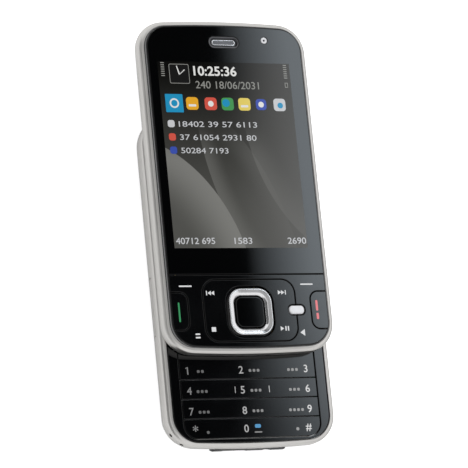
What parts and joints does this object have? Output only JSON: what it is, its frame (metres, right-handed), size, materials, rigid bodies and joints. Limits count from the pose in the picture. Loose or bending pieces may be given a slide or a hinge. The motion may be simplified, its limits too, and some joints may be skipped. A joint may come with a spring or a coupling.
{
  "type": "dual slide mobile phone",
  "caption": "Pocket phone whose screen half slides up over a number pad and down over media keys, with keys, sockets, battery, camera and a folding stand as separate pieces.",
  "frame": {"origin": "on the table, under the middle of the phone's bounding box, slid open as pictured", "axes": "+Z out of the screen, +Y towards the earpiece end, +X to the right of the screen"},
  "size_m": [0.0544, 0.1289, 0.0182],
  "materials": {
    "silver_frame": "satin",
    "bright_trim": "polished",
    "front_glass": "gloss",
    "camera_glass": "gloss",
    "key_black": "gloss",
    "pearl_key": "gloss",
    "back_cover": "satin",
    "inner_plastic": "matte",
    "slide_metal": "satin",
    "chassis_metal": "satin",
    "steel": "satin",
    "contact_gold": "satin",
    "display": "satin",
    "circuit_board": "matte",
    "battery_wrap": "satin",
    "dome_film": "satin"
  },
  "bodies": {
    "base": {"base_frame": "silver_frame", "back_housing": "back_cover", "kickstand_pin": "steel", "camera_window": "camera_glass", "camera_module": "inner_plastic", "flash_lamp": "camera_glass", "base_chassis": "chassis_metal", "main_board": "circuit_board", "battery": "battery_wrap", "sim_card": "contact_gold", "card_socket": "steel", "base_screw_left": "steel", "base_screw_right": "steel", "speaker_left": "inner_plastic", "speaker_right": "inner_plastic", "vibration_motor": "steel", "audio_socket": "inner_plastic", "port_block": "inner_plastic", "data_socket": "steel", "charge_socket": "steel", "keypad_surround": "key_black", "number_dome_sheet": "dome_film", "media_key_surround": "key_black", "slide_plate": "chassis_metal", "slide_shoe_left": "steel", "slide_shoe_right": "steel"},
    "slider": {"slider_frame": "silver_frame", "slider_back_plate": "slide_metal", "front_glass": "front_glass", "display_module": "display", "earpiece_bar": "bright_trim", "earpiece": "steel", "front_camera": "camera_glass", "media_panel": "key_black", "key_board": "circuit_board"},
    "battery_cover": {"battery_cover": "back_cover"},
    "kickstand": {"kickstand": "steel"},
    "card_door": {"card_door": "silver_frame"},
    "memory_card": {"memory_card": "inner_plastic"},
    "volume_key": {"volume_key": "silver_frame"},
    "camera_key": {"camera_key": "silver_frame"},
    "power_key": {"power_key": "silver_frame"},
    "lock_slider": {"lock_slider": "silver_frame"},
    "number_row_1": {"number_row_1": "key_black"},
    "number_row_2": {"number_row_2": "key_black"},
    "number_row_3": {"number_row_3": "key_black"},
    "number_row_4": {"number_row_4": "key_black"},
    "media_key_1": {"media_key_1": "key_black"},
    "media_key_2": {"media_key_2": "key_black"},
    "media_key_3": {"media_key_3": "key_black"},
    "media_key_4": {"media_key_4": "key_black"},
    "call_key": {"call_key": "key_black"},
    "end_key": {"end_key": "key_black"},
    "left_function_key": {"left_function_key": "key_black"},
    "right_function_key": {"right_function_key": "key_black"},
    "multimedia_key": {"multimedia_key": "pearl_key"},
    "select_key": {"select_key": "key_black"},
    "nav_ring": {"nav_ring": "bright_trim"},
    "nav_pad": {"nav_pad": "inner_plastic"}
  },
  "joints": [
    {"name": "slide_up_and_down", "type": "slide", "parent": "base", "child": "slider", "axis": [0, 1, 0], "range_m": [-0.0416, 0]},
    {"name": "number_row_1_press", "type": "slide", "parent": "base", "child": "number_row_1", "axis": [0, 0, -1], "range_m": [0, 0.0003], "stiffness_N_per_m": 1000, "springref_m": -0.0003},
    {"name": "number_row_2_press", "type": "slide", "parent": "base", "child": "number_row_2", "axis": [0, 0, -1], "range_m": [0, 0.0003], "stiffness_N_per_m": 1000, "springref_m": -0.0003},
    {"name": "number_row_3_press", "type": "slide", "parent": "base", "child": "number_row_3", "axis": [0, 0, -1], "range_m": [0, 0.0003], "stiffness_N_per_m": 1000, "springref_m": -0.0003},
    {"name": "number_row_4_press", "type": "slide", "parent": "base", "child": "number_row_4", "axis": [0, 0, -1], "range_m": [0, 0.0003], "stiffness_N_per_m": 1000, "springref_m": -0.0003},
    {"name": "media_key_1_press", "type": "slide", "parent": "base", "child": "media_key_1", "axis": [0, 0, -1], "range_m": [0, 0.0003], "stiffness_N_per_m": 1000, "springref_m": -0.0003},
    {"name": "media_key_2_press", "type": "slide", "parent": "base", "child": "media_key_2", "axis": [0, 0, -1], "range_m": [0, 0.0003], "stiffness_N_per_m": 1000, "springref_m": -0.0003},
    {"name": "media_key_3_press", "type": "slide", "parent": "base", "child": "media_key_3", "axis": [0, 0, -1], "range_m": [0, 0.0003], "stiffness_N_per_m": 1000, "springref_m": -0.0003},
    {"name": "media_key_4_press", "type": "slide", "parent": "base", "child": "media_key_4", "axis": [0, 0, -1], "range_m": [0, 0.0003], "stiffness_N_per_m": 1000, "springref_m": -0.0003},
    {"name": "call_key_press", "type": "slide", "parent": "slider", "child": "call_key", "axis": [0, 0, -1], "range_m": [0, 0.0003], "stiffness_N_per_m": 1000, "springref_m": -0.0003},
    {"name": "end_key_press", "type": "slide", "parent": "slider", "child": "end_key", "axis": [0, 0, -1], "range_m": [0, 0.0003], "stiffness_N_per_m": 1000, "springref_m": -0.0003},
    {"name": "left_function_key_press", "type": "slide", "parent": "slider", "child": "left_function_key", "axis": [0, 0, -1], "range_m": [0, 0.0003], "stiffness_N_per_m": 1000, "springref_m": -0.0003},
    {"name": "right_function_key_press", "type": "slide", "parent": "slider", "child": "right_function_key", "axis": [0, 0, -1], "range_m": [0, 0.0003], "stiffness_N_per_m": 1000, "springref_m": -0.0003},
    {"name": "multimedia_key_press", "type": "slide", "parent": "slider", "child": "multimedia_key", "axis": [0, 0, -1], "range_m": [0, 0.0003], "stiffness_N_per_m": 1000, "springref_m": -0.0003},
    {"name": "select_key_press", "type": "slide", "parent": "slider", "child": "select_key", "axis": [0, 0, -1], "range_m": [0, 0.0003], "stiffness_N_per_m": 1000, "springref_m": -0.0003},
    {"name": "nav_left_right_tilt", "type": "hinge", "parent": "slider", "child": "nav_pad", "pos_m": [0, -0.0254, 0.0172], "axis": [0, 1, 0], "range_deg": [-2, 2], "stiffness_Nm_per_rad": 0.05},
    {"name": "nav_up_down_tilt", "type": "hinge", "parent": "nav_pad", "child": "nav_ring", "pos_m": [0, -0.0254, 0.0172], "axis": [1, 0, 0], "range_deg": [-2, 2], "stiffness_Nm_per_rad": 0.05},
    {"name": "volume_rocker", "type": "hinge", "parent": "base", "child": "volume_key", "pos_m": [0.0258, 0.00875, 0.0086], "axis": [0, 0, 1], "range_deg": [-1.5, 1.5], "stiffness_Nm_per_rad": 0.05},
    {"name": "camera_key_press", "type": "slide", "parent": "base", "child": "camera_key", "axis": [-1, 0, 0], "range_m": [0, 0.0006], "stiffness_N_per_m": 1000, "springref_m": -0.0003},
    {"name": "power_key_press", "type": "slide", "parent": "base", "child": "power_key", "axis": [0, -1, 0], "range_m": [0, 0.0004], "stiffness_N_per_m": 1000, "springref_m": -0.0003},
    {"name": "lock_slider_slide", "type": "slide", "parent": "base", "child": "lock_slider", "axis": [1, 0, 0], "range_m": [0, 0.0015], "stiffness_N_per_m": 300, "springref_m": -0.0003},
    {"name": "card_door_hinge", "type": "hinge", "parent": "base", "child": "card_door", "pos_m": [-0.0268, -0.0302, 0.0061], "axis": [0, 0, 1], "range_deg": [0, 100]},
    {"name": "memory_card_push", "type": "slide", "parent": "base", "child": "memory_card", "axis": [1, 0, 0], "range_m": [0, 0.0006], "stiffness_N_per_m": 500, "springref_m": -0.0003},
    {"name": "kickstand_hinge", "type": "hinge", "parent": "base", "child": "kickstand", "pos_m": [-0.0156, 0.01375, 0.0009], "axis": [0, 1, 0], "range_deg": [0, 60]},
    {"name": "battery_cover_off", "type": "slide", "parent": "base", "child": "battery_cover", "axis": [0, 0, -1], "range_m": [0, 0.02]}
  ]
}
